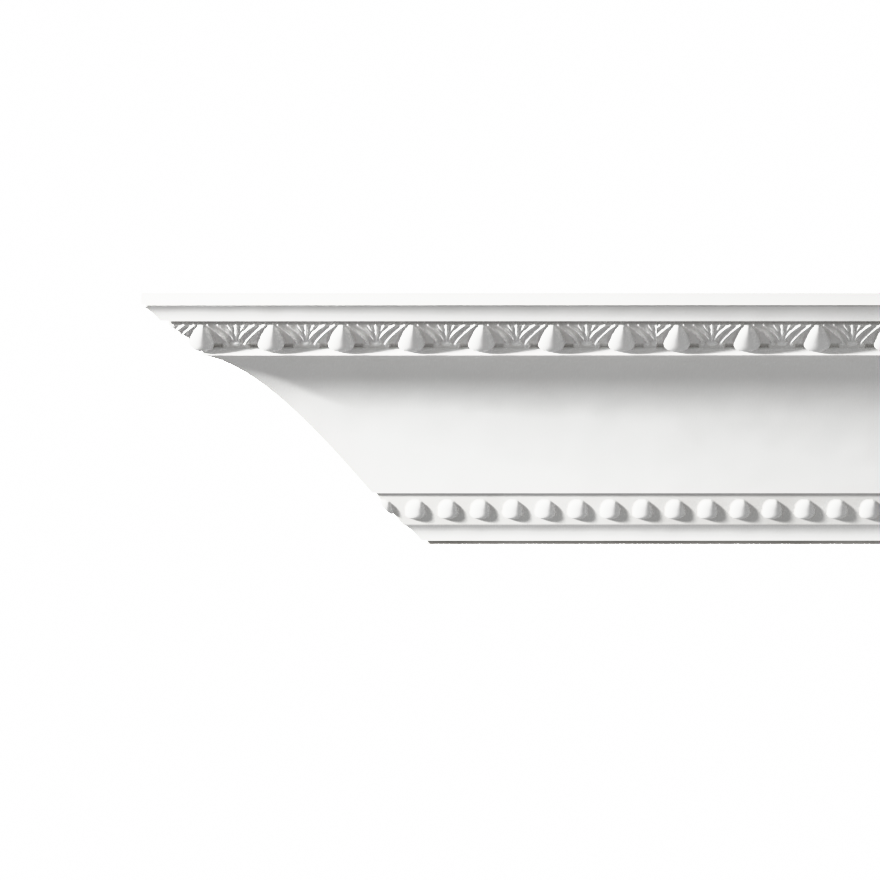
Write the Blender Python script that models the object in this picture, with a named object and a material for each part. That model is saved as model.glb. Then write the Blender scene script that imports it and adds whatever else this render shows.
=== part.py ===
"""Ceiling moulding with an egg-and-leaf band, a cove and a row of beads.

One cast piece, a corner length: the left end is mitred for an outside corner
and the right end is cut square. X runs along the wall, the wall is the plane
Y = 0, the moulding stands out towards -Y and Z is up. The origin is the middle
of the face that lies on the wall. All sizes are metres.
"""
import math

import bmesh
import bpy
from mathutils import Matrix, Vector

# Overall sizes
LENGTH = 0.384            # along the top edge, from the tip of the mitre to the square end
HEIGHT = 0.130            # from the lower lip to the ceiling
PROJECTION = 0.152        # from the wall to the fascia
MITRE_ANGLE = 45.0        # degrees, for a square outside corner
LIP_THICKNESS = 0.006     # what is left of the projection at the lower edge
WALL_FACE_HEIGHT = 0.020  # the face that is glued to the wall
CEILING_FACE_DEPTH = 0.028  # the face that is glued to the ceiling

# The section, from the ceiling down
FASCIA_HEIGHT = 0.0064
FASCIA_QUIRK = 0.0005     # the cavetto starts this far behind the fascia
CAVETTO_HEIGHT = 0.0083
CAVETTO_DEPTH = 0.0093
CAVETTO_TURN = 26.0       # degrees that its hollow turns through
CARVED_RECESS = 0.0006    # the carved ground lies this far behind the cavetto's edge
CARVED_HEIGHT = 0.0139
CARVED_DEPTH = 0.0208
FILLET_HEIGHT = 0.0035
COVE_START_ANGLE = 9.5    # degrees below the level where the cove leaves the fillet
COVE_END_ANGLE = 49.5     # degrees below the level where it reaches the bead row
COVE_START_PULL = 0.0249  # how far each end's direction holds
COVE_END_PULL = 0.0548
BEAD_QUIRK_DEPTH = 0.0021
BEAD_QUIRK_HEIGHT = 0.0008
BEAD_BAND_HEIGHT = 0.0155
BEAD_BAND_DEPTH = 0.0139
FOOT_HEIGHT = 0.0083      # the small cavetto under the beads
FOOT_DEPTH = 0.0093
FOOT_TURN = 26.0          # degrees
LIP_CHAMFER = 0.0021
COVE_STEPS = 22
HOLLOW_STEPS = 6

# Eggs: the round end points down the slope and the narrow end up
FIRST_EGG = 0.0307        # from the tip of the mitre to the first egg's middle
EGG_PITCH = 0.0361
EGGS_BEFORE_SEAM = 7      # then one repeat is short
SEAM_PITCH = 0.0284
EGG_WIDTH = 0.0144
EGG_RISE = 0.0036         # out of the carved ground
EGG_UPPER_LENGTH = 0.0165
EGG_LOWER_LENGTH = 0.0063
EGG_TAPER = 0.34
EGG_TO_EDGE = 0.0040      # from its widest place to the lower edge, which it reaches over

# Leaf fan between two eggs: half of it, mirrored about the stem
STEM_HALF_WIDTH = 0.0021
STEM_RISE = 0.0024
LEAF_TOP_CLEARANCE = 0.0018
LET_IN = 0.0003           # how far below the ground a round form's widest line lies
LEAF_LET_IN = 0.6         # share of its rise by which a leaf goes into the ground
LEAF_STATIONS = 5
# reach at the tip, offset at the foot, foot's share of the slope, curl, half width, rise
LEAVES = (
    (0.0137, 0.0047, 0.86, 1.6, 0.0021, 0.0023),
    (0.0090, 0.0016, 0.68, 2.0, 0.0019, 0.0022),
    (0.0042, 0.0022, 0.36, 1.3, 0.0012, 0.0017),
)
KNOT_WIDTH = 0.0066
KNOT_LENGTH = 0.0052
KNOT_RISE = 0.0020
KNOT_PLACE = 0.77         # share of the slope, from its top edge

# Beads
FIRST_BEAD = 0.1243       # from the tip of the mitre to the first bead's middle
BEAD_PITCH = 0.0168
BEAD_WIDTH = 0.0101
BEAD_RISE = 0.0019
BEAD_UPPER_LENGTH = 0.0072
BEAD_LOWER_LENGTH = 0.0060
BEAD_TAPER = 0.10
BEAD_PLACE = 0.53         # share of the band's slope, from its top edge

# Rings from pole to pole of the round forms
EGG_RINGS = 8
KNOT_RINGS = 4
BEAD_RINGS = 6

OVERRUN = 0.040           # how far the uncut run reaches past the piece
WELD = 0.00001            # points closer than this are one
SMOOTH_ANGLE = 32.0       # degrees; flatter edges are shaded round

CARVED_SLOPE = math.hypot(CARVED_DEPTH, CARVED_HEIGHT)
BEAD_SLOPE = math.hypot(BEAD_BAND_DEPTH, BEAD_BAND_HEIGHT)
COVE_HEIGHT = HEIGHT - (FASCIA_HEIGHT + CAVETTO_HEIGHT + CARVED_HEIGHT + FILLET_HEIGHT
                        + BEAD_QUIRK_HEIGHT + BEAD_BAND_HEIGHT + FOOT_HEIGHT + LIP_CHAMFER)
COVE_DEPTH = PROJECTION - LIP_THICKNESS - (FASCIA_QUIRK + CAVETTO_DEPTH + CARVED_RECESS
                                           + CARVED_DEPTH + BEAD_QUIRK_DEPTH
                                           + BEAD_BAND_DEPTH + FOOT_DEPTH + LIP_CHAMFER)
MITRE_RUN = PROJECTION * math.tan(math.radians(MITRE_ANGLE))
X_TIP = -(LENGTH + MITRE_RUN) / 2
X_END = X_TIP + LENGTH
Z_LIP = -WALL_FACE_HEIGHT / 2
Z_TOP = Z_LIP + HEIGHT


def hollow(start, end, turn, steps):
    """Points of a circular hollow from start to end, end left out.

    The arc turns through the given angle and bends in towards the wall.
    """
    middle = (start + end) / 2
    chord = end - start
    half_turn = math.radians(turn) / 2
    radius = chord.length / (2 * math.sin(half_turn))
    outward = Vector((-chord.y, chord.x)).normalized()
    centre = middle + outward * radius * math.cos(half_turn)
    spoke = start - centre
    points = []
    for step in range(steps):
        angle = 2 * half_turn * step / steps
        points.append(centre + Matrix.Rotation(angle, 2) @ spoke)
    return points


def cove(start, end, steps):
    """Points of the cove, a cubic curve held by the directions at its two ends."""
    def towards(angle):
        turn = math.radians(angle)
        return Vector((-math.cos(turn), -math.sin(turn)))
    first = start + towards(COVE_START_ANGLE) * COVE_START_PULL
    second = end - towards(COVE_END_ANGLE) * COVE_END_PULL
    points = []
    for step in range(steps):
        t = step / steps
        s = 1 - t
        points.append(start * s**3 + first * 3 * s * s * t + second * 3 * s * t * t + end * t**3)
    return points


def section():
    """The closed section as (distance from the wall, height), and the two carved slopes' tops."""
    at = Vector((PROJECTION, Z_TOP))
    outline = [at.copy()]

    def go(inwards, down):
        at.x -= inwards
        at.y -= down
        outline.append(at.copy())

    def curve_to(inwards, down, maker, *sizes):
        start = at.copy()
        at.x -= inwards
        at.y -= down
        outline.extend(maker(start, at.copy(), *sizes)[1:])
        outline.append(at.copy())

    go(0, FASCIA_HEIGHT)
    go(FASCIA_QUIRK, 0)
    curve_to(CAVETTO_DEPTH, CAVETTO_HEIGHT, hollow, CAVETTO_TURN, HOLLOW_STEPS)
    go(CARVED_RECESS, 0)
    carved_top = at.copy()
    go(CARVED_DEPTH, CARVED_HEIGHT)
    go(0, FILLET_HEIGHT)
    curve_to(COVE_DEPTH, COVE_HEIGHT, cove, COVE_STEPS)
    go(BEAD_QUIRK_DEPTH, BEAD_QUIRK_HEIGHT)
    bead_top = at.copy()
    go(BEAD_BAND_DEPTH, BEAD_BAND_HEIGHT)
    curve_to(FOOT_DEPTH, FOOT_HEIGHT, hollow, FOOT_TURN, HOLLOW_STEPS)
    go(LIP_CHAMFER, LIP_CHAMFER)
    outline.append(Vector((0, Z_LIP)))
    outline.append(Vector((0, Z_LIP + WALL_FACE_HEIGHT)))
    outline.append(Vector((PROJECTION - CEILING_FACE_DEPTH, Z_TOP)))
    return outline, carved_top, bead_top


def put_in(collection_name, item):
    """Link an object to the named collection, which is made when first needed."""
    collection = bpy.data.collections.get(collection_name)
    if collection is None:
        collection = bpy.data.collections.new(collection_name)
        bpy.context.scene.collection.children.link(collection)
    collection.objects.link(item)


def run_of_section(outline):
    """The plain run: the section as a flat curve, extruded along X, as a mesh object."""
    curve = bpy.data.curves.new("section", "CURVE")
    curve.dimensions = "2D"
    curve.fill_mode = "BOTH"
    curve.extrude = (LENGTH + 2 * OVERRUN) / 2
    spline = curve.splines.new("POLY")
    spline.points.add(len(outline) - 1)
    for point, place in zip(spline.points, outline):
        point.co = (place.x, place.y, 0, 1)
    spline.use_cyclic_u = True
    guide = bpy.data.objects.new("section", curve)
    # curve x becomes -Y, curve y becomes Z and its extrusion runs along X
    guide.matrix_world = Matrix((
        (0, 0, -1, (X_TIP + X_END) / 2),
        (-1, 0, 0, 0),
        (0, 1, 0, 0),
        (0, 0, 0, 1),
    ))
    put_in("cutters", guide)
    bpy.context.view_layer.update()
    evaluated = guide.evaluated_get(bpy.context.evaluated_depsgraph_get())
    mesh = bpy.data.meshes.new_from_object(evaluated)
    mesh.transform(guide.matrix_world)
    bpy.data.objects.remove(guide)
    shape = bmesh.new()
    shape.from_mesh(mesh)
    bmesh.ops.remove_doubles(shape, verts=shape.verts, dist=WELD)
    bmesh.ops.recalc_face_normals(shape, faces=shape.faces)
    shape.to_mesh(mesh)
    shape.free()
    run = bpy.data.objects.new("run", mesh)
    put_in("cutters", run)
    return run


def band_frame(top, depth, height):
    """A frame on a sloping band: x along the wall, y up the slope, z out of the face."""
    along = Vector((1, 0, 0))
    up = Vector((0, -depth, height)).normalized()
    frame = Matrix((along, up, along.cross(up))).transposed().to_4x4()
    frame.translation = Vector((0, -top.x, top.y))
    return frame


def add_egg(shape, frame, x, place, width, rise, upper, lower, taper, rings):
    """An egg half let into a band, place below its top edge: round below, tapered above."""
    made = bmesh.ops.create_uvsphere(shape, u_segments=2 * rings, v_segments=rings, radius=1,
                                     matrix=Matrix.Rotation(math.pi / 2, 4, "X"))
    for vert in made["verts"]:
        across, along, out = vert.co
        narrowing = 1 - taper * max(0, along)
        reach = upper if along > 0 else lower
        local = Vector((across * narrowing * width / 2, along * reach, out * narrowing * rise))
        vert.co = frame @ (local + Vector((x, -place, -LET_IN)))


def add_leaf(shape, frame, x, side, reach, foot, foot_share, curl, half_width, rise):
    """A leaf: a ridge with a three-sided section, lofted along a curve from its tip to its foot.

    Its middle line lies reach from the stem at the tip and foot from it at the foot,
    and comes in with the curl-th power of the way that is left.
    """
    top = LEAF_TOP_CLEARANCE
    base = CARVED_SLOPE * foot_share
    rings = []
    for station in range(LEAF_STATIONS):
        t = station / (LEAF_STATIONS - 1)
        down = top + (base - top) * t
        across = foot + (reach - foot) * (1 - t) ** curl
        run = -(reach - foot) * curl * (1 - t) ** (curl - 1)
        way = Vector((run, base - top)).normalized()
        aside = Vector((way.y, -way.x))
        swell = 0.35 + 0.65 * math.sin(math.pi * (0.05 + 0.85 * (1 - t)))
        wide = half_width * swell
        high = rise * swell
        middle = Vector((across, down))
        left = middle - aside * wide
        right = middle + aside * wide
        ring = []
        for flat, level in ((left, -rise * LEAF_LET_IN), (middle, high), (right, -rise * LEAF_LET_IN)):
            ring.append(shape.verts.new(frame @ Vector((x + side * flat.x, -flat.y, level))))
        rings.append(ring)
    faces = [shape.faces.new(rings[0]), shape.faces.new(rings[-1])]
    for ring, after in zip(rings, rings[1:]):
        for corner in range(3):
            following = (corner + 1) % 3
            faces.append(shape.faces.new((ring[corner], ring[following], after[following], after[corner])))
    bmesh.ops.recalc_face_normals(shape, faces=faces)


def egg_places():
    """X of each egg, and how far it is to the next one."""
    x = X_TIP + FIRST_EGG - EGG_PITCH
    number = 0
    places = []
    while x < X_END + EGG_PITCH:
        step = SEAM_PITCH if number == EGGS_BEFORE_SEAM else EGG_PITCH
        places.append((x, step))
        x += step
        number += 1
    return places


def carve_eggs(shape, frame):
    """The eggs of the upper band, each with the stem of the leaf fan after it."""
    for x, step in egg_places():
        add_egg(shape, frame, x, CARVED_SLOPE - EGG_TO_EDGE, EGG_WIDTH, EGG_RISE,
                EGG_UPPER_LENGTH, EGG_LOWER_LENGTH, EGG_TAPER, EGG_RINGS)
        add_leaf(shape, frame, x + EGG_PITCH / 2, 1, 0, 0, KNOT_PLACE, 1, STEM_HALF_WIDTH, STEM_RISE)


def carve_leaves(shape, frame, leaf):
    """One pair of leaves in every fan, left and right of its stem."""
    for x, step in egg_places():
        # the short repeat leaves no room for the leaves on the stem's right
        for side in (-1, 1) if step == EGG_PITCH else (-1,):
            add_leaf(shape, frame, x + EGG_PITCH / 2, side, *leaf)


def carve_knots(shape, frame):
    """The knot that ties each fan at its foot."""
    for x, step in egg_places():
        add_egg(shape, frame, x + EGG_PITCH / 2, CARVED_SLOPE * KNOT_PLACE, KNOT_WIDTH, KNOT_RISE,
                KNOT_LENGTH / 2, KNOT_LENGTH / 2, 0, KNOT_RINGS)


def carve_beads(shape, frame):
    """The lower band's row of beads."""
    count = math.ceil((LENGTH - FIRST_BEAD) / BEAD_PITCH) + 2
    for number in range(-1, count):
        x = X_TIP + FIRST_BEAD + number * BEAD_PITCH
        add_egg(shape, frame, x, BEAD_SLOPE * BEAD_PLACE, BEAD_WIDTH, BEAD_RISE,
                BEAD_UPPER_LENGTH, BEAD_LOWER_LENGTH, BEAD_TAPER, BEAD_RINGS)


def add_layer(name, carve, *where):
    """One layer of carving as a hidden closed mesh; its own forms don't touch each other."""
    shape = bmesh.new()
    carve(shape, *where)
    mesh = bpy.data.meshes.new(name)
    shape.to_mesh(mesh)
    shape.free()
    layer = bpy.data.objects.new(name, mesh)
    layer.hide_render = True
    layer.display_type = "WIRE"
    put_in("carving", layer)


def cut_off(shape, point, normal):
    """Cut a closed mesh by a plane, drop what lies outside and close the cut with one face."""
    everything = shape.verts[:] + shape.edges[:] + shape.faces[:]
    bmesh.ops.bisect_plane(shape, geom=everything, dist=WELD, plane_co=point, plane_no=normal,
                           clear_outer=True)
    bmesh.ops.contextual_create(shape, geom=[edge for edge in shape.edges if edge.is_boundary])


def join_and_trim(run):
    """Join the carving to the run, then cut the mitre and the square end."""
    step = run.modifiers.new("carving", "BOOLEAN")
    step.operation = "UNION"
    step.operand_type = "COLLECTION"
    step.collection = bpy.data.collections["carving"]
    bpy.context.view_layer.update()
    mesh = bpy.data.meshes.new_from_object(run.evaluated_get(bpy.context.evaluated_depsgraph_get()))
    shape = bmesh.new()
    shape.from_mesh(mesh)
    bmesh.ops.triangulate(shape, faces=shape.faces)
    bmesh.ops.remove_doubles(shape, verts=shape.verts, dist=WELD)
    mitre = math.radians(MITRE_ANGLE)
    cut_off(shape, (X_TIP, -PROJECTION, 0), (-math.cos(mitre), math.sin(mitre), 0))
    cut_off(shape, (X_END, 0, 0), (1, 0, 0))
    shape.to_mesh(mesh)
    shape.free()
    bpy.data.objects.remove(run)
    piece = bpy.data.objects.new("ceiling_moulding", mesh)
    put_in("ceiling moulding", piece)
    return piece


def white_cast(piece):
    """A matt white coat, one material for the whole piece."""
    material = bpy.data.materials.new("white_cast")
    material.use_nodes = True
    shader = material.node_tree.nodes["Principled BSDF"]
    shader.inputs["Base Color"].default_value = (0.86, 0.86, 0.85, 1)
    shader.inputs["Roughness"].default_value = 0.7
    shader.inputs["Metallic"].default_value = 0
    piece.data.materials.append(material)


def build():
    """Clear the scene and make the moulding."""
    for item in list(bpy.data.objects):
        bpy.data.objects.remove(item)
    outline, carved_top, bead_top = section()
    run = run_of_section(outline)
    carved = band_frame(carved_top, CARVED_DEPTH, CARVED_HEIGHT)
    beaded = band_frame(bead_top, BEAD_BAND_DEPTH, BEAD_BAND_HEIGHT)
    add_layer("eggs", carve_eggs, carved)
    for leaf in LEAVES:
        add_layer("leaves", carve_leaves, carved, leaf)
    add_layer("knots", carve_knots, carved)
    add_layer("beads", carve_beads, beaded)
    moulding = join_and_trim(run)
    white_cast(moulding)
    moulding.data.shade_smooth()
    moulding.data.set_sharp_from_angle(angle=math.radians(SMOOTH_ANGLE))


build()
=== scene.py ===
"""The ceiling moulding as it is seen: one cast length, its coat, the light and the camera.

The shown piece is one closed mesh that keeps the solid's section and adds the fine relief:
shadow lines between the members, the curved leaf fans, the eggs and the beads.
X runs along the wall, the wall is the plane Y = 0 and Z is up. All sizes are metres.
"""

import math

import bmesh
import bpy
import numpy as np
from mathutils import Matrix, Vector

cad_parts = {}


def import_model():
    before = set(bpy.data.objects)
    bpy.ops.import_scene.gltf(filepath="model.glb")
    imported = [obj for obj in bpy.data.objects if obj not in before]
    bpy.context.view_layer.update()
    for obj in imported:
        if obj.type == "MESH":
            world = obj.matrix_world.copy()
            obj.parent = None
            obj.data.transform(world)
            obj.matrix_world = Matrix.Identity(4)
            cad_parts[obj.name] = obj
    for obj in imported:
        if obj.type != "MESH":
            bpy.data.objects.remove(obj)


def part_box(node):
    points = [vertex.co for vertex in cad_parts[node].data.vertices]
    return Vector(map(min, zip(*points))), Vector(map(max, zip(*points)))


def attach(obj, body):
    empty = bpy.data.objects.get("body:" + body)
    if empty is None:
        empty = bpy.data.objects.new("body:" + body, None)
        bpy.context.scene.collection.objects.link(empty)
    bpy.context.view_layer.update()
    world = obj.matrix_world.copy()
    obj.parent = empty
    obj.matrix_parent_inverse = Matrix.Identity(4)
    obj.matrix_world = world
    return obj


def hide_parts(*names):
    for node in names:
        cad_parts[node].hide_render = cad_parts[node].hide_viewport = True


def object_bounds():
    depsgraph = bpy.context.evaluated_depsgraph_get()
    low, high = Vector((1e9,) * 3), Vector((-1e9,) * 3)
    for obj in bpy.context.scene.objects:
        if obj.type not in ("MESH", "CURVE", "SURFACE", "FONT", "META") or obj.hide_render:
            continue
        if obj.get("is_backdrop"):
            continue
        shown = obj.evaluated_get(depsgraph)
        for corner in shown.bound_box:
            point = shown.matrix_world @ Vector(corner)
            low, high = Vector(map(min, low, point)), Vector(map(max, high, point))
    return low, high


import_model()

# The piece's box, taken from the solid
LOW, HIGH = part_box("ceiling_moulding")
X_TIP, X_END = LOW.x, HIGH.x
Z_LIP, Z_TOP = LOW.z, HIGH.z
PROJECTION = -LOW.y
MITRE_ANGLE = math.radians(45)

# Section from the ceiling down; a pair is a reach inwards and a drop
FASCIA_HEIGHT = 0.0064
FASCIA_GROOVE = (0.0022, 0.0007)
FASCIA_QUIRK = 0.0005                # the hollow starts this far behind the fascia
CAVETTO = (0.0093, 0.0076)
CAVETTO_TURN = 26.0                  # degrees
CARVED_RECESS = 0.0022               # behind the hollow's foot, with the quirk
CARVED = (0.0197, 0.0139)
FILLET_HEIGHT = 0.0035
COVE_ANGLES = (9.5, 49.5)            # degrees below the level at its two ends
COVE_PULLS = (0.0249, 0.0548)        # how far each end's direction holds
BEAD_GROOVE = (0.0021, 0.0008)
BEAD_BAND = (0.0139, 0.0155)
FOOT = (0.0093, 0.0083)
FOOT_TURN = 26.0                     # degrees
LIP_HEIGHT = 0.0021
LIP_THICKNESS = 0.006
LIP_CHAMFER = 0.0021
LIP_UNDERCUT = 0.0010                # how far the lip's face is set back
WALL_FACE_HEIGHT = 0.020
CEILING_FACE_DEPTH = 0.028
COVE_STEPS = 40                      # strips
HOLLOW_STEPS = 12

# Eggs and leaf fans
FIRST_EGG = 0.0307                   # from the tip of the mitre
EGG_PITCH = 0.0361
EGGS_BEFORE_SEAM = 7
SEAM_PITCH = 0.0284
EGG_HALF_WIDTH = 0.0062              # at its highest place
EGG_RISE = 0.0036
EGG_LENGTHS = (0.0118, 0.0104)       # above and below its highest place
EGG_TO_EDGE = 0.0095                 # from its highest place to the lower edge, which it reaches over
EGG_TAPER = 0.45                     # share of its width that it loses to its top
EGG_FULLNESS = (3.0, 0.40)           # of its outline and of its swelling
STEM_HALF_WIDTH = 0.0016
STEM_RISE = 0.0016
LEAF_TOP = 0.0027                    # down the slope to the leaf tips
LEAF_THINNEST = 0.35                 # a leaf's least share of its width and rise
LEAF_SWELL = (0.05, 0.85)            # its swelling is this part of a half wave: start and span
# reach at the tip, offset at the foot, foot's share of the slope, curl, half width, rise
LEAVES = (
    (0.0146, 0.0045, 0.87, 1.9, 0.0012, 0.0021),
    (0.0094, 0.0014, 0.71, 2.2, 0.0012, 0.0020),
    (0.0042, 0.0020, 0.38, 1.4, 0.0009, 0.0013),
)
KNOT = (0.0031, 0.0024, 0.0015)      # half width, half length and rise
KNOT_PLACE = 0.78                    # share of the slope
CURL = (0.0015, 0.0013, 0.0011)      # the same sizes of the small curl on each side of the knot
CURL_OFFSET = 0.0048
CURL_PLACE = 0.80
TOP_LINE = (0.0030, 0.0036)          # length and depth of the sunk line above the leaves
TOP_LINE_DEEPEST = 0.25              # share of its length
POCKET_LENGTH = 0.0042               # the ground is sunk along its lower edge, beside the knots
POCKET_DEPTH = 0.0013
POCKET_START = 0.0064                # from the stem
SLOPE_IN = 0.0010                    # how soon the sunk parts reach their depth
CARVED_COLUMNS = 1100                # points along the run
CARVED_LINES = 54                    # rows down the slope
FILLET_LINES = 9
EGG_TRIES = 60                       # distances tried for a point of the fillet

# Beads
FIRST_BEAD = 0.1243                  # from the tip of the mitre
BEAD_PITCH = 0.0168
BEAD_HALF_WIDTH = 0.00505
BEAD_RISE = 0.0018
BEAD_LENGTHS = (0.0074, 0.0056)      # above and below its highest place
BEAD_TAPER = 0.12
BEAD_FULLNESS = (3.0, 0.5)
BEAD_PLACE = 0.53                    # share of the slope
BEAD_COLUMNS = 560
BEAD_LINES = 42

MARGIN = 0.006                       # the run is made this much longer and then cut at the mitre
WELD = 1e-6
STEP = 2e-5                          # least distance between two rows of a band
SHARP = math.radians(42)

# Surface; a noise has a scale and a detail
CLOUD = (22, 3)
WAVE = (35, 1)
GRAIN = (1500, 3)
NOISE_RANGE = (0.3, 0.7)             # where nearly all of a noise lies
PAINTED_SHADE = (0.45, 0.85)                  # share of painted shade in the hollows, least and most
COAT = {
    "light": (0.88, 0.88, 0.87),
    "dark": (0.84, 0.84, 0.83),
    # painted shade: the darker colour laid into the hollows, grooves and the lip where shade falls
    "painted_shade": (0.42, 0.41, 0.39),
    "roughness": (0.55, 0.72),
    "relief": (0.00030, 0.00003),     # height of the waves and of the grain
}
BARE = {
    "light": (0.80, 0.79, 0.74),
    "dark": (0.72, 0.70, 0.64),
    # painted shade: the darker colour laid into the hollows of the bare faces where shade falls
    "painted_shade": (0.62, 0.60, 0.56),
    "roughness": (0.75, 0.95),
    "relief": (0.00040, 0.00020),
}
BACK_STRIPS = 4                      # strips of the section that lie on the wall and behind

# Light and camera
FILL = 0.55                          # strength of the even light
SEEN_WHITE = 30                      # strength that the camera sees behind the piece
KEY_WAY = Vector((-1.6, -1, 0.60))
KEY_DISTANCE = 1.4
KEY_WIDTH = 0.08
KEY_TALL = 0.15
KEY_POWER = 8.0
KEY_SPREAD = math.radians(50)
KEY_AIM = Vector((-0.17, -0.08, 0.03))
CARD_GAP = 0.20                      # how far the card stands in front of the fascia
CARD_EDGE = 0.2325                   # level of its lower edge
CARD_HEIGHT = 0.12
CARD_PAST_TIP = 0.456                # the key light comes from beyond the tip
FRAME_WIDTH = 0.4541                 # of what the picture shows
CAMERA_DISTANCE = 20
CAMERA_SIGHT = 60
CENTRE = Vector((-0.1142, -0.08, 0.0442))
FLOOR_LEVEL = -0.45
FLOOR_SIZE = 1.2
FLOOR_COLOUR = (0.8, 0.8, 0.8)
FLOOR_ROUGHNESS = 0.8


def mitre_x(distance):
    """Where the mitre cuts a line that runs along the wall at that distance from it."""
    return X_TIP + (PROJECTION - distance) * math.tan(MITRE_ANGLE)


def hollow(start, end, turn, steps):
    """A circular hollow from start to end that turns through the angle, as section points."""
    half = math.radians(turn) / 2
    chord = end - start
    radius = np.hypot(*chord) / (2 * math.sin(half))
    outward = np.array((-chord[1], chord[0])) / np.hypot(*chord)
    centre = (start + end) / 2 + outward * radius * math.cos(half)
    angle = 2 * half * np.arange(steps + 1)[:, None] / steps
    spoke = start - centre
    turned = np.array((-spoke[1], spoke[0]))
    return centre + np.cos(angle) * spoke + np.sin(angle) * turned


def cove(start, end, steps):
    """A cubic curve from start to end, held by the directions at its two ends."""
    angles = np.radians(COVE_ANGLES)
    ways = -np.stack((np.cos(angles), np.sin(angles)), axis=1)
    first = start + ways[0] * COVE_PULLS[0]
    second = end - ways[1] * COVE_PULLS[1]
    t = np.arange(steps + 1)[:, None] / steps
    s = 1 - t
    return start * s**3 + first * 3 * s * s * t + second * 3 * s * t * t + end * t**3


def half_round(across, along, half_width, lengths, rise, taper=0, fullness=(2, 0.5)):
    """Height of a form like half an egg: rounded in both directions and narrower upwards.

    rise (1 - (across / width)^2 - |along / length|^fullness[0])^fullness[1], where the width is
    half_width (1 + taper along / upper length).
    """
    reach = np.where(along < 0, lengths[0], lengths[1])
    width = half_width * np.clip(1 + taper * along / lengths[0], 1 - taper, None)
    inside = 1 - (across / width) ** 2 - np.abs(along / reach) ** fullness[0]
    return rise * np.clip(inside, 0, 1) ** fullness[1]


def leaf(across, along, slope, reach, foot, foot_share, curl, half_width, rise):
    """Height of a leaf: a ridge along a curve that comes in to the stem as it goes down.

    left is 1 at the tip and 0 at the foot, and the curve lies foot + (reach - foot) left^curl from
    the stem. The ridge has straight flanks, and its width and rise swell along it as a sine.
    """
    base = slope * foot_share
    left = np.clip(1 - (along - LEAF_TOP) / (base - LEAF_TOP), 0, 1)
    middle = foot + (reach - foot) * left**curl
    lean = (reach - foot) * curl * left ** (curl - 1) / (base - LEAF_TOP)
    wave = np.sin(math.pi * (LEAF_SWELL[0] + LEAF_SWELL[1] * left))
    swell = LEAF_THINNEST + (1 - LEAF_THINNEST) * wave
    distance = np.abs(across - middle) / np.sqrt(1 + lean**2)
    over = (np.clip(along - base, 0, None) + np.clip(LEAF_TOP - along, 0, None)) / half_width
    return rise * swell * np.clip(1 - np.hypot(distance / (half_width * swell), over), 0, 1)


def from_nearest_egg(x):
    """Distance from the nearest egg's axis; the short repeat cuts the pattern off early there."""
    first = X_TIP + FIRST_EGG - EGG_PITCH
    count = math.ceil((X_END - first) / EGG_PITCH) + 2
    steps = np.full(count, EGG_PITCH)
    steps[EGGS_BEFORE_SEAM] = SEAM_PITCH
    axes = first + np.concatenate(((0,), np.cumsum(steps)))
    borders = axes[:-1] + EGG_PITCH / 2
    return np.abs(x - axes[np.searchsorted(borders, x)])


def carved_height(x, along, slope):
    """Height of the egg-and-leaf relief over its ground, less the ground's sunk parts.

    The pattern is the same on both sides of an egg, so it is a function of the distance
    from the nearest egg's axis.
    """
    from_egg = from_nearest_egg(x)
    from_stem = np.abs(EGG_PITCH / 2 - from_egg)
    forms = [half_round(from_egg, along - (slope - EGG_TO_EDGE), EGG_HALF_WIDTH, EGG_LENGTHS, EGG_RISE,
                        EGG_TAPER, EGG_FULLNESS)]
    for sizes in LEAVES:
        forms.append(leaf(from_stem, along, slope, *sizes))
    forms.append(leaf(from_stem, along, slope, 0, 0, KNOT_PLACE, 1, STEM_HALF_WIDTH, STEM_RISE))
    forms.append(half_round(from_stem, along - slope * KNOT_PLACE, KNOT[0], (KNOT[1], KNOT[1]), KNOT[2]))
    forms.append(half_round(from_stem - CURL_OFFSET, along - slope * CURL_PLACE, CURL[0],
                            (CURL[1], CURL[1]), CURL[2]))
    raised = np.max(forms, axis=0)
    share = along / TOP_LINE[0]
    ramps = np.minimum(share / TOP_LINE_DEEPEST, (1 - share) / (1 - TOP_LINE_DEEPEST))
    line = TOP_LINE[1] * np.clip(ramps, 0, 1)
    lower = np.clip((along - slope + POCKET_LENGTH) / SLOPE_IN, 0, 1)
    aside = np.clip((from_stem - POCKET_START) / SLOPE_IN, 0, 1)
    sunk = line + POCKET_DEPTH * lower * aside
    return raised - sunk * np.clip(1 - raised / SLOPE_IN, 0, 1)


def bead_height(x, along, slope):
    """Height of the beads over their ground."""
    first = X_TIP + FIRST_BEAD
    across = (x - first + BEAD_PITCH / 2) % BEAD_PITCH - BEAD_PITCH / 2
    return half_round(across, along - slope * BEAD_PLACE, BEAD_HALF_WIDTH, BEAD_LENGTHS, BEAD_RISE,
                      BEAD_TAPER, BEAD_FULLNESS)


def with_marks(places, marks):
    """Points with a fourth number each: how much painted shade lies there, from 0 to 1."""
    return np.concatenate((places, marks[..., None]), axis=-1)


def relief_band(top, bottom, columns, lines, height):
    """Rows of a sloping band whose ground is raised by height(x, along, slope) square to it.

    The painted-shade mark, which darkens the colour where shade falls, is a half on the ground,
    none where it is raised by SLOPE_IN and full where it is sunk as much.
    """
    slope = math.dist(top, bottom)
    way = (bottom - top) / slope
    out = np.array((-way[1], way[0]))
    x = np.linspace(mitre_x(top[0]) - MARGIN, X_END, columns)
    along = np.linspace(0, slope, lines)[:, None]
    raised = height(*np.broadcast_arrays(x, along), slope)
    raised[0] = 0
    distance = top[0] + along * way[0] + raised * out[0]
    level = top[1] + along * way[1] + raised * out[1]
    # painted shade: half on the ground, full in the sunk lines and pockets
    painted_shade_mark = np.clip((1 - raised / SLOPE_IN) / 2, 0, 1)
    return with_marks(np.stack((np.broadcast_to(x, raised.shape), -distance, level), axis=2), painted_shade_mark)


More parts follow.
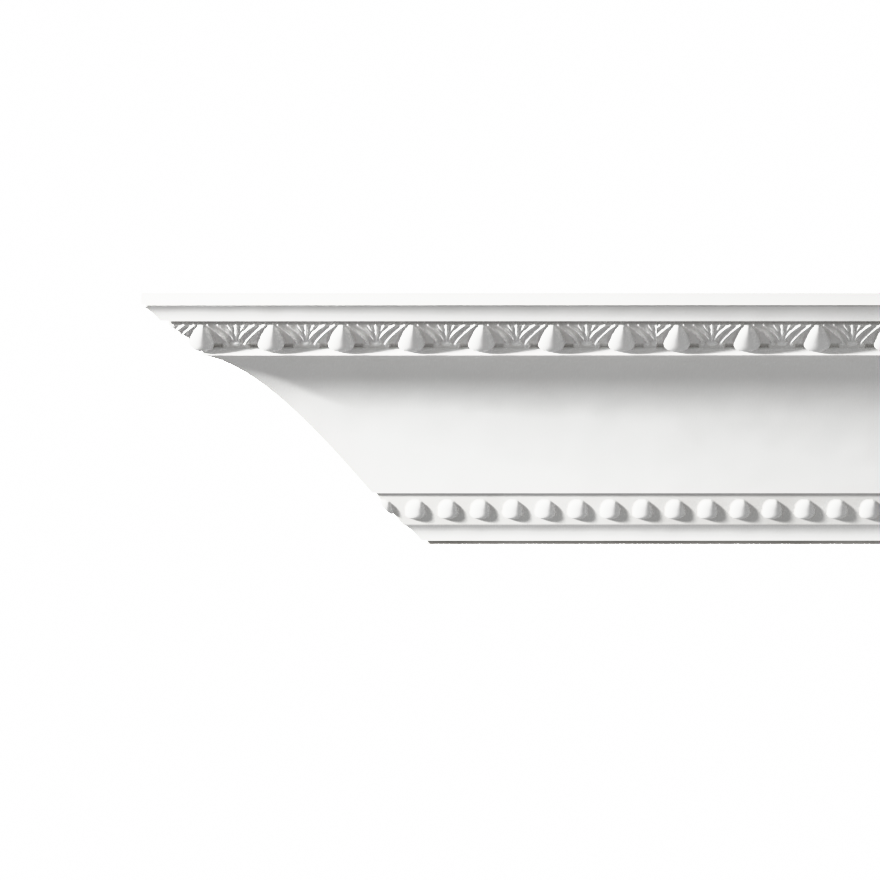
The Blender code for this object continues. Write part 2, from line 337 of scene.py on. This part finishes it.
def fillet_rows(last, top, edge, lines):
    """Rows of the upright fillet under the carved band, raised where the eggs reach over it.

    last is the band's last row. A point of the fillet stands out as far as the egg's surface
    does there: of EGG_TRIES distances the largest whose point is still inside the egg.
    """
    slope = math.dist(edge, top)
    way = (edge - top) / slope
    out = np.array((-way[1], way[0]))
    x = last[:, 0]
    start = np.clip(edge[1] - last[:, 2], 0, None) + STEP
    down = start + (FILLET_HEIGHT - start) * np.linspace(0, 1, lines)[:, None]
    stands = np.zeros(down.shape)
    for tried in np.linspace(0, EGG_RISE * out[0], EGG_TRIES):
        along = slope + tried * way[0] - down * way[1]
        height = tried * out[0] - down * out[1]
        surface = half_round(from_nearest_egg(x), along - (slope - EGG_TO_EDGE), EGG_HALF_WIDTH,
                             EGG_LENGTHS, EGG_RISE, EGG_TAPER, EGG_FULLNESS)
        stands = np.where(height < surface, tried, stands)
    stands[-1] = 0
    return with_marks(np.stack((np.broadcast_to(x, down.shape), -edge[0] - stands, edge[1] - down), axis=2),
                      np.zeros(down.shape))


def plain_row(point, mark=0):
    """A straight line along the wall through a point of the section, as its two ends."""
    distance, level = point
    ends = np.array(((mitre_x(distance) - MARGIN, -distance, level), (X_END, -distance, level)))
    return with_marks(ends, np.array((mark, mark)))


def section_rows():
    """All rows round the section, from the ceiling down and back up, with their form's number.

    Rows of one form are joined smoothly and all others by flat strips.
    """
    rows = []
    forms = []
    at = np.array((PROJECTION, Z_TOP))

    def add(new, joined=False):
        """Add rows as a form of their own, or joined to the last form."""
        number = forms[-1] if joined else len(rows)
        for row in new:
            rows.append(row)
            forms.append(number)

    def go(inwards, down, mark=0):
        """Go on straight by a reach inwards and a drop."""
        at[:] = at - (inwards, down)
        add([plain_row(at, mark)])

    def replace_last(new):
        """Put a form's rows in the place of the row at its start."""
        rows.pop()
        forms.pop()
        add(new)

    def curve(size, maker, *sizes):
        """Go on by a plain curve of that size."""
        start = at.copy()
        at[:] = at - size
        replace_last([plain_row(point) for point in maker(start, at.copy(), *sizes)])

    def band(size, columns, lines, height):
        """Go on by a sloping band with relief, and give back the point where it starts."""
        start = at.copy()
        at[:] = at - size
        replace_last(list(relief_band(start, at.copy(), columns, lines, height)))
        return start

    go(0, 0)
    go(0, FASCIA_HEIGHT)
    go(FASCIA_GROOVE[0], 0)
    go(0, FASCIA_GROOVE[1])
    go(FASCIA_QUIRK - FASCIA_GROOVE[0], 0)
    curve(CAVETTO, hollow, CAVETTO_TURN, HOLLOW_STEPS)
    go(CARVED_RECESS - FASCIA_QUIRK, 0)
    top = band(CARVED, CARVED_COLUMNS, CARVED_LINES, carved_height)
    add(list(fillet_rows(rows[-1], top, at.copy(), FILLET_LINES)), joined=True)
    at[1] -= FILLET_HEIGHT
    cove_end = np.array((LIP_THICKNESS + LIP_CHAMFER + FOOT[0] + BEAD_BAND[0] + BEAD_GROOVE[0],
                         Z_LIP + LIP_HEIGHT + FOOT[1] + BEAD_BAND[1] + BEAD_GROOVE[1]))
    curve(at - cove_end, cove, COVE_STEPS)
    go(BEAD_GROOVE[0], 0)
    go(0, BEAD_GROOVE[1])
    band(BEAD_BAND, BEAD_COLUMNS, BEAD_LINES, bead_height)
    foot_top = at.copy()
    at[:] = at - FOOT
    add([plain_row(point) for point in hollow(foot_top, at.copy(), FOOT_TURN, HOLLOW_STEPS)[1:]])
    # painted shade: the lip's set-back face, in the shadow of the foot, gets the full mark
    go(LIP_CHAMFER + LIP_UNDERCUT, 0, 1)
    go(0, LIP_HEIGHT, 1)
    for point in ((0, Z_LIP), (0, Z_LIP + WALL_FACE_HEIGHT), (PROJECTION - CEILING_FACE_DEPTH, Z_TOP)):
        at[:] = point
        add([plain_row(at)])
    return rows, forms


def faces_between(first, second, starts, sizes):
    """Faces between two rows: quads where they have as many points, else one flat face."""
    a, b = starts[first], starts[second]
    if sizes[first] == sizes[second]:
        step = np.arange(sizes[first] - 1)
        return np.stack((a + step, b + step, b + step + 1, a + step + 1), axis=1).tolist()
    upper = a + np.arange(sizes[first])
    lower = b + np.arange(sizes[second])
    return [np.concatenate((upper[::-1], lower)).tolist()]


def cut_mitre(mesh):
    """Cut the run by the mitre's plane and close the cut."""
    shape = bmesh.new()
    shape.from_mesh(mesh)
    everything = shape.verts[:] + shape.edges[:] + shape.faces[:]
    normal = (-math.cos(MITRE_ANGLE), math.sin(MITRE_ANGLE), 0)
    bmesh.ops.bisect_plane(shape, geom=everything, dist=WELD, plane_co=(X_TIP, -PROJECTION, 0),
                           plane_no=normal, clear_outer=True)
    made = bmesh.ops.contextual_create(shape, geom=[edge for edge in shape.edges if edge.is_boundary])
    for face in made["faces"]:
        face.smooth = False
        face.material_index = 1
    bmesh.ops.recalc_face_normals(shape, faces=shape.faces)
    shape.to_mesh(mesh)
    shape.free()


def mark_sharp(mesh):
    """Sharp edges: where the surface breaks by more than SHARP, and all round every flat face."""
    mesh.set_sharp_from_angle(angle=SHARP)
    flat = np.zeros(len(mesh.polygons), bool)
    corners = np.zeros(len(mesh.polygons), np.int32)
    edges = np.zeros(len(mesh.loops), np.int32)
    sharp = np.zeros(len(mesh.edges), bool)
    mesh.polygons.foreach_get("use_smooth", flat)
    mesh.polygons.foreach_get("loop_total", corners)
    mesh.loops.foreach_get("edge_index", edges)
    mesh.edges.foreach_get("use_edge_sharp", sharp)
    sharp[edges[np.repeat(~flat, corners)]] = True
    mesh.edges.foreach_set("use_edge_sharp", sharp)


def moulding():
    """The whole moulding as one closed mesh: rows joined round the section, then the mitre cut."""
    rows, forms = section_rows()
    sizes = [len(row) for row in rows]
    starts = np.concatenate(((0,), np.cumsum(sizes)))
    faces = []
    smooth = []
    bare = []
    for number in range(len(rows)):
        following = (number + 1) % len(rows)
        new = faces_between(number, following, starts, sizes)
        faces += new
        smooth += [forms[number] == forms[following]] * len(new)
        bare += [number >= len(rows) - BACK_STRIPS] * len(new)
    for end in (starts[:-1], (starts[1:] - 1)[::-1]):
        faces.append(end.tolist())
        smooth.append(False)
        bare.append(True)
    mesh = bpy.data.meshes.new("moulding")
    points = np.concatenate(rows)
    mesh.from_pydata(points[:, :3].tolist(), [], faces)
    # the hollow attribute holds each point's painted-shade mark
    mesh.attributes.new("hollow", "FLOAT", "POINT").data.foreach_set("value", points[:, 3].copy())
    mesh.polygons.foreach_set("use_smooth", smooth)
    mesh.polygons.foreach_set("material_index", np.array(bare, np.int32))
    cut_mitre(mesh)
    mark_sharp(mesh)
    piece = bpy.data.objects.new("moulding", mesh)
    bpy.context.scene.collection.objects.link(piece)
    return piece


def plain_material(name, colour, roughness):
    """One colour and one roughness all over."""
    material = bpy.data.materials.new(name)
    material.use_nodes = True
    shader = material.node_tree.nodes["Principled BSDF"]
    shader.inputs["Base Color"].default_value = (*colour, 1)
    shader.inputs["Roughness"].default_value = roughness
    return material


def noise(tree, place, scale, detail):
    """A noise in the piece's own space, as a factor."""
    made = tree.nodes.new("ShaderNodeTexNoise")
    made.inputs["Scale"].default_value = scale
    made.inputs["Detail"].default_value = detail
    tree.links.new(place, made.inputs["Vector"])
    return made.outputs["Fac"]


def blend(tree, factor, first, second):
    """A colour between two; each is a constant or a socket."""
    made = tree.nodes.new("ShaderNodeMix")
    made.data_type = "RGBA"
    tree.links.new(factor, made.inputs["Factor"])
    for name, value in (("A", first), ("B", second)):
        socket = next(item for item in made.inputs if item.name == name and item.type == "RGBA")
        if isinstance(value, tuple):
            socket.default_value = (*value, 1)
        else:
            tree.links.new(value, socket)
    return next(item for item in made.outputs if item.type == "RGBA")


def between(tree, factor, low, high):
    """A number between two, by how high a noise is in NOISE_RANGE."""
    made = tree.nodes.new("ShaderNodeMapRange")
    made.inputs["From Min"].default_value = NOISE_RANGE[0]
    made.inputs["From Max"].default_value = NOISE_RANGE[1]
    made.inputs["To Min"].default_value = low
    made.inputs["To Max"].default_value = high
    tree.links.new(factor, made.inputs["Value"])
    return made.outputs["Result"]


def product(tree, first, second):
    """Two numbers multiplied."""
    made = tree.nodes.new("ShaderNodeMath")
    made.operation = "MULTIPLY"
    tree.links.new(first, made.inputs[0])
    tree.links.new(second, made.inputs[1])
    return made.outputs["Value"]


def casting_group():
    """What every cast face shares: a faint cloudiness, and the height of its waves and grain."""
    group = bpy.data.node_groups.new("casting", "ShaderNodeTree")
    parts = {"Cloud": CLOUD, "Wave": WAVE, "Grain": GRAIN}
    for name in parts:
        group.interface.new_socket(name, in_out="OUTPUT", socket_type="NodeSocketFloat")
    place = group.nodes.new("ShaderNodeTexCoord").outputs["Object"]
    out = group.nodes.new("NodeGroupOutput")
    for name, (scale, detail) in parts.items():
        group.links.new(noise(group, place, scale, detail), out.inputs[name])
    return group


def bump(tree, height, distance, normal=None):
    """A normal roughened by a height."""
    made = tree.nodes.new("ShaderNodeBump")
    made.inputs["Distance"].default_value = distance
    tree.links.new(height, made.inputs["Height"])
    if normal:
        tree.links.new(normal, made.inputs["Normal"])
    return made.outputs["Normal"]


def cast_material(name, casting, light, dark, painted_shade, roughness, relief):
    """A cast face: clouded colour, painted shade in its hollows, uneven sheen, waves and grain."""
    material = bpy.data.materials.new(name)
    material.use_nodes = True
    tree = material.node_tree
    shader = tree.nodes["Principled BSDF"]
    shared = tree.nodes.new("ShaderNodeGroup")
    shared.node_tree = casting
    cloud, wave, grain = (shared.outputs[part] for part in ("Cloud", "Wave", "Grain"))
    clouded = blend(tree, between(tree, cloud, 0, 1), light, dark)
    # painted shade: the mark darkens the colour towards the shade colour in the hollows
    painted_shade_mark = tree.nodes.new("ShaderNodeAttribute")
    painted_shade_mark.attribute_name = "hollow"
    painted_shade_share = product(tree, painted_shade_mark.outputs["Fac"], between(tree, cloud, PAINTED_SHADE[0], PAINTED_SHADE[1]))
    tree.links.new(blend(tree, painted_shade_share, clouded, painted_shade), shader.inputs["Base Color"])
    tree.links.new(between(tree, grain, *roughness), shader.inputs["Roughness"])
    normal = bump(tree, grain, relief[1], bump(tree, wave, relief[0]))
    tree.links.new(normal, shader.inputs["Normal"])
    return material


def world():
    """White to the camera, and an even soft light on the piece."""
    made = bpy.data.worlds.new("studio")
    bpy.context.scene.world = made
    made.use_nodes = True
    nodes, links = made.node_tree.nodes, made.node_tree.links
    nodes.clear()
    path = nodes.new("ShaderNodeLightPath")
    fill = nodes.new("ShaderNodeBackground")
    fill.inputs["Strength"].default_value = FILL
    seen = nodes.new("ShaderNodeBackground")
    seen.inputs["Strength"].default_value = SEEN_WHITE
    mix = nodes.new("ShaderNodeMixShader")
    out = nodes.new("ShaderNodeOutputWorld")
    links.new(path.outputs["Is Camera Ray"], mix.inputs["Fac"])
    links.new(fill.outputs["Background"], mix.inputs[1])
    links.new(seen.outputs["Background"], mix.inputs[2])
    links.new(mix.outputs["Shader"], out.inputs["Surface"])


def key_light():
    """A tall soft light from the upper left."""
    lamp = bpy.data.lights.new("key", "AREA")
    lamp.shape = "RECTANGLE"
    lamp.size = KEY_WIDTH
    lamp.size_y = KEY_TALL
    lamp.energy = KEY_POWER
    lamp.spread = KEY_SPREAD
    light = bpy.data.objects.new("key", lamp)
    light.location = KEY_AIM + KEY_WAY.normalized() * KEY_DISTANCE
    light.rotation_euler = KEY_WAY.to_track_quat("Z", "Y").to_euler()
    bpy.context.scene.collection.objects.link(light)


def card():
    """A card outside the camera's sight that holds back part of the key light from the fascia."""
    y = -PROJECTION - CARD_GAP
    left = X_TIP - CARD_PAST_TIP
    top = CARD_EDGE + CARD_HEIGHT
    corners = [(left, y, CARD_EDGE), (X_END, y, CARD_EDGE), (X_END, y, top), (left, y, top)]
    mesh = bpy.data.meshes.new("card")
    mesh.from_pydata(corners, [], [(0, 1, 2, 3)])
    made = bpy.data.objects.new("card", mesh)
    made.visible_camera = False
    made.visible_diffuse = False
    made.visible_glossy = False
    bpy.context.scene.collection.objects.link(made)
    made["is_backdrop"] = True


def camera():
    """A level camera, square on to the wall and far off, as the photo shows no convergence."""
    data = bpy.data.cameras.new("camera")
    data.lens = data.sensor_width * CAMERA_DISTANCE / FRAME_WIDTH
    data.clip_end = CAMERA_SIGHT
    eye = bpy.data.objects.new("camera", data)
    eye.location = CENTRE - Vector((0, CAMERA_DISTANCE, 0))
    eye.rotation_euler = (math.pi / 2, 0, 0)
    bpy.context.scene.collection.objects.link(eye)
    bpy.context.scene.camera = eye


def floor():
    """A plain pale floor, well below the piece, which it throws no light on."""
    mesh = bpy.data.meshes.new("floor")
    half = FLOOR_SIZE / 2
    corners = [(x, y, FLOOR_LEVEL) for x, y in ((-half, -half), (half, -half), (half, half), (-half, half))]
    mesh.from_pydata(corners, [], [(0, 1, 2, 3)])
    made = bpy.data.objects.new("floor", mesh)
    mesh.materials.append(plain_material("floor", FLOOR_COLOUR, FLOOR_ROUGHNESS))
    made.visible_diffuse = False
    bpy.context.scene.collection.objects.link(made)
    made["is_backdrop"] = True


def save_bounds(name, sizes):
    """Note the two corners of the part's box as it is now."""
    low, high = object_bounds()
    sizes[name] = [list(low), list(high)]


sizes = {}
save_bounds("solid", sizes)
piece = moulding()
casting = casting_group()
piece.data.materials.append(cast_material("white_cast", casting, **COAT))
piece.data.materials.append(cast_material("bare_cast", casting, **BARE))
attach(piece, "root")
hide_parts("ceiling_moulding")
world()
floor()
key_light()
card()
camera()
bpy.context.scene.view_settings.view_transform = "Khronos PBR Neutral"
save_bounds("shown", sizes)
